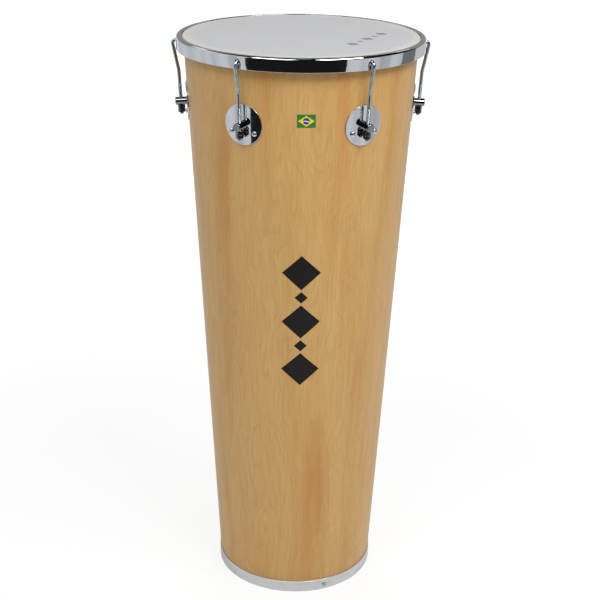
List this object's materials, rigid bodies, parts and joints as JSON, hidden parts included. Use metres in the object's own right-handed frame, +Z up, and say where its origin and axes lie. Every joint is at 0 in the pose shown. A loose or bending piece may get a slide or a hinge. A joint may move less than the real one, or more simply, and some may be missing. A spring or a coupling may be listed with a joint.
{
  "type": "timbal hand drum",
  "caption": "Tall tapered wooden hand drum with a plastic head, pulled down by bent hook rods through cross-bored lug posts.",
  "frame": {"origin": "centre of the foot, on the floor", "axes": "+Z up along the shell's axis, -Y towards the front of the drum, +X to the right seen from the front; the lugs are at 30, 90 and 150 degrees either side of the front"},
  "size_m": [0.39, 0.3742, 0.9],
  "materials": {
    "lacquered_ply": "light ply veneer under clear satin-gloss lacquer, grain upright",
    "raw_ply": "unlacquered ply",
    "satin_aluminium": "satin rolled strip",
    "chromed_steel": "bright chrome plate",
    "zinc_plated_steel": "clear zinc plate, a little dulled",
    "milky_film": "milky satin drumhead film"
  },
  "bodies": {
    "root": {"shell": "lacquered_ply", "top_inner_ring": "raw_ply", "foot_inner_ring": "raw_ply", "foot_band": "satin_aluminium", "foot_band_screw_1": "zinc_plated_steel", "foot_band_screw_2": "zinc_plated_steel", "foot_band_screw_3": "zinc_plated_steel", "lug_plate_1": "chromed_steel", "lug_post_1": "chromed_steel", "lug_bolt_1": "zinc_plated_steel", "plate_screw_1a": "chromed_steel", "plate_screw_1b": "chromed_steel", "lug_plate_2": "chromed_steel", "lug_post_2": "chromed_steel", "lug_bolt_2": "zinc_plated_steel", "plate_screw_2a": "chromed_steel", "plate_screw_2b": "chromed_steel", "lug_plate_3": "chromed_steel", "lug_post_3": "chromed_steel", "lug_bolt_3": "zinc_plated_steel", "plate_screw_3a": "chromed_steel", "plate_screw_3b": "chromed_steel", "lug_plate_4": "chromed_steel", "lug_post_4": "chromed_steel", "lug_bolt_4": "zinc_plated_steel", "plate_screw_4a": "chromed_steel", "plate_screw_4b": "chromed_steel", "lug_plate_5": "chromed_steel", "lug_post_5": "chromed_steel", "lug_bolt_5": "zinc_plated_steel", "plate_screw_5a": "chromed_steel", "plate_screw_5b": "chromed_steel", "lug_plate_6": "chromed_steel", "lug_post_6": "chromed_steel", "lug_bolt_6": "zinc_plated_steel", "plate_screw_6a": "chromed_steel", "plate_screw_6b": "chromed_steel"},
    "head_set": {"counter_hoop": "chromed_steel", "flesh_hoop": "satin_aluminium", "head_film": "milky_film", "hook_rod_1": "zinc_plated_steel", "hook_rod_2": "zinc_plated_steel", "hook_rod_3": "zinc_plated_steel", "hook_rod_4": "zinc_plated_steel", "hook_rod_5": "zinc_plated_steel", "hook_rod_6": "zinc_plated_steel"},
    "tuning_nut_1": {"tuning_nut_1": "zinc_plated_steel"},
    "lock_nut_1": {"lock_nut_1": "zinc_plated_steel"},
    "tuning_nut_2": {"tuning_nut_2": "zinc_plated_steel"},
    "lock_nut_2": {"lock_nut_2": "zinc_plated_steel"},
    "tuning_nut_3": {"tuning_nut_3": "zinc_plated_steel"},
    "lock_nut_3": {"lock_nut_3": "zinc_plated_steel"},
    "tuning_nut_4": {"tuning_nut_4": "zinc_plated_steel"},
    "lock_nut_4": {"lock_nut_4": "zinc_plated_steel"},
    "tuning_nut_5": {"tuning_nut_5": "zinc_plated_steel"},
    "lock_nut_5": {"lock_nut_5": "zinc_plated_steel"},
    "tuning_nut_6": {"tuning_nut_6": "zinc_plated_steel"},
    "lock_nut_6": {"lock_nut_6": "zinc_plated_steel"}
  },
  "joints": [
    {"name": "head_tension", "type": "slide", "parent": "root", "child": "head_set", "axis": [0, 0, 1], "range_m": [0, 0.005]},
    {"name": "tuning_nut_1_turn", "type": "hinge", "parent": "root", "child": "tuning_nut_1", "pos_m": [0.09037, -0.15652, 0.78904], "axis": [0.0275, -0.0476, 0.9985], "range_deg": [-1801, 0]},
    {"name": "lock_nut_1_turn", "type": "hinge", "parent": "root", "child": "lock_nut_1", "pos_m": [0.09021, -0.15625, 0.78354], "axis": [0.0275, -0.0476, 0.9985], "range_deg": [-1801, 0]},
    {"name": "tuning_nut_2_turn", "type": "hinge", "parent": "root", "child": "tuning_nut_2", "pos_m": [0.18073, 0, 0.78904], "axis": [0.055, 0, 0.9985], "range_deg": [-1801, 0]},
    {"name": "lock_nut_2_turn", "type": "hinge", "parent": "root", "child": "lock_nut_2", "pos_m": [0.18043, 0, 0.78354], "axis": [0.055, 0, 0.9985], "range_deg": [-1801, 0]},
    {"name": "tuning_nut_3_turn", "type": "hinge", "parent": "root", "child": "tuning_nut_3", "pos_m": [0.09037, 0.15652, 0.78904], "axis": [0.0275, 0.0476, 0.9985], "range_deg": [-1801, 0]},
    {"name": "lock_nut_3_turn", "type": "hinge", "parent": "root", "child": "lock_nut_3", "pos_m": [0.09021, 0.15625, 0.78354], "axis": [0.0275, 0.0476, 0.9985], "range_deg": [-1801, 0]},
    {"name": "tuning_nut_4_turn", "type": "hinge", "parent": "root", "child": "tuning_nut_4", "pos_m": [-0.09037, 0.15652, 0.78904], "axis": [-0.0275, 0.0476, 0.9985], "range_deg": [-1801, 0]},
    {"name": "lock_nut_4_turn", "type": "hinge", "parent": "root", "child": "lock_nut_4", "pos_m": [-0.09021, 0.15625, 0.78354], "axis": [-0.0275, 0.0476, 0.9985], "range_deg": [-1801, 0]},
    {"name": "tuning_nut_5_turn", "type": "hinge", "parent": "root", "child": "tuning_nut_5", "pos_m": [-0.18073, 0, 0.78904], "axis": [-0.055, 0, 0.9985], "range_deg": [-1801, 0]},
    {"name": "lock_nut_5_turn", "type": "hinge", "parent": "root", "child": "lock_nut_5", "pos_m": [-0.18043, 0, 0.78354], "axis": [-0.055, 0, 0.9985], "range_deg": [-1801, 0]},
    {"name": "tuning_nut_6_turn", "type": "hinge", "parent": "root", "child": "tuning_nut_6", "pos_m": [-0.09037, -0.15652, 0.78904], "axis": [-0.0275, -0.0476, 0.9985], "range_deg": [-1801, 0]},
    {"name": "lock_nut_6_turn", "type": "hinge", "parent": "root", "child": "lock_nut_6", "pos_m": [-0.09021, -0.15625, 0.78354], "axis": [-0.0275, -0.0476, 0.9985], "range_deg": [-1801, 0]}
  ],
  "couplings": [
    {"joint": "tuning_nut_1_turn", "follows": "head_tension", "rad_per_m": -6283.2},
    {"joint": "lock_nut_1_turn", "follows": "head_tension", "rad_per_m": -6283.2},
    {"joint": "tuning_nut_2_turn", "follows": "head_tension", "rad_per_m": -6283.2},
    {"joint": "lock_nut_2_turn", "follows": "head_tension", "rad_per_m": -6283.2},
    {"joint": "tuning_nut_3_turn", "follows": "head_tension", "rad_per_m": -6283.2},
    {"joint": "lock_nut_3_turn", "follows": "head_tension", "rad_per_m": -6283.2},
    {"joint": "tuning_nut_4_turn", "follows": "head_tension", "rad_per_m": -6283.2},
    {"joint": "lock_nut_4_turn", "follows": "head_tension", "rad_per_m": -6283.2},
    {"joint": "tuning_nut_5_turn", "follows": "head_tension", "rad_per_m": -6283.2},
    {"joint": "lock_nut_5_turn", "follows": "head_tension", "rad_per_m": -6283.2},
    {"joint": "tuning_nut_6_turn", "follows": "head_tension", "rad_per_m": -6283.2},
    {"joint": "lock_nut_6_turn", "follows": "head_tension", "rad_per_m": -6283.2}
  ]
}
